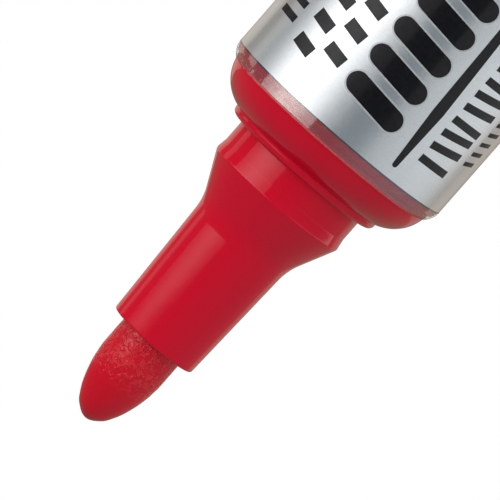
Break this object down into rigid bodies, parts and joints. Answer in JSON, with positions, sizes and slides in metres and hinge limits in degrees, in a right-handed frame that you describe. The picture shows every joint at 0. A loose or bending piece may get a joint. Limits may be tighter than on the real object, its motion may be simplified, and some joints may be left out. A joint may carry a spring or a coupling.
{
  "type": "whiteboard marker",
  "caption": "Round-barrelled liquid-ink whiteboard marker with a bullet nib on a stepped tube, a sleeve label, a pump button in its tail and a cap posted over it, standing on the cap.",
  "frame": {"origin": "centre of the cap's foot, on the surface the marker stands on", "axes": "+Z along the marker's axis from the posted cap to the nib; X and Y are across it, and +X has no special meaning on this round part"},
  "size_m": [0.0182, 0.0182, 0.1537],
  "materials": {
    "red_plastic": "opaque moulded polypropylene, gloss",
    "red_nib": "bonded fibre soaked in red ink",
    "absorber": "open fibre pad stained by ink",
    "natural_plastic": "natural polypropylene, satin",
    "barrel_plastic": "grey moulded polypropylene, gloss",
    "label_film": "clear shrink film with a silver metallic print",
    "ink": "red liquid ink",
    "elastomer": "moulded nitrile rubber",
    "spring_steel": "drawn stainless spring wire"
  },
  "bodies": {
    "marker": {"nib": "red_nib", "front_section": "red_plastic", "front_seal_ring": "elastomer", "relay_wick": "red_nib", "ink_absorber": "absorber", "valve_retainer": "natural_plastic", "valve_housing": "natural_plastic", "valve_seal": "elastomer", "valve_spring": "spring_steel", "barrel": "barrel_plastic", "label_sleeve": "label_film", "ink_charge": "ink", "rear_plug": "red_plastic", "tail_seal_ring": "elastomer", "pump_spring": "spring_steel", "pump_cylinder": "natural_plastic", "check_valve": "elastomer"},
    "pump": {"pump_button": "red_plastic", "pump_piston": "elastomer"},
    "valve": {"valve_poppet": "natural_plastic"},
    "cap": {"cap_shell": "red_plastic", "cap_liner": "natural_plastic"}
  },
  "joints": [
    {"name": "cap_slide", "type": "slide", "parent": "cap", "child": "marker", "axis": [0, 0, 1], "range_m": [0, 0.03]},
    {"name": "pump_press", "type": "slide", "parent": "marker", "child": "pump", "axis": [0, 0, 1], "range_m": [0, 0.004], "stiffness_N_per_m": 1000, "springref_m": -0.004, "deforming": ["pump_spring"]},
    {"name": "valve_open", "type": "slide", "parent": "marker", "child": "valve", "axis": [0, 0, 1], "range_m": [0, 0.0008], "stiffness_N_per_m": 200, "springref_m": -0.001, "deforming": ["valve_spring"]}
  ],
  "couplings": [
    {"joint": "valve_open", "follows": "pump_press", "ratio": 0.2}
  ]
}
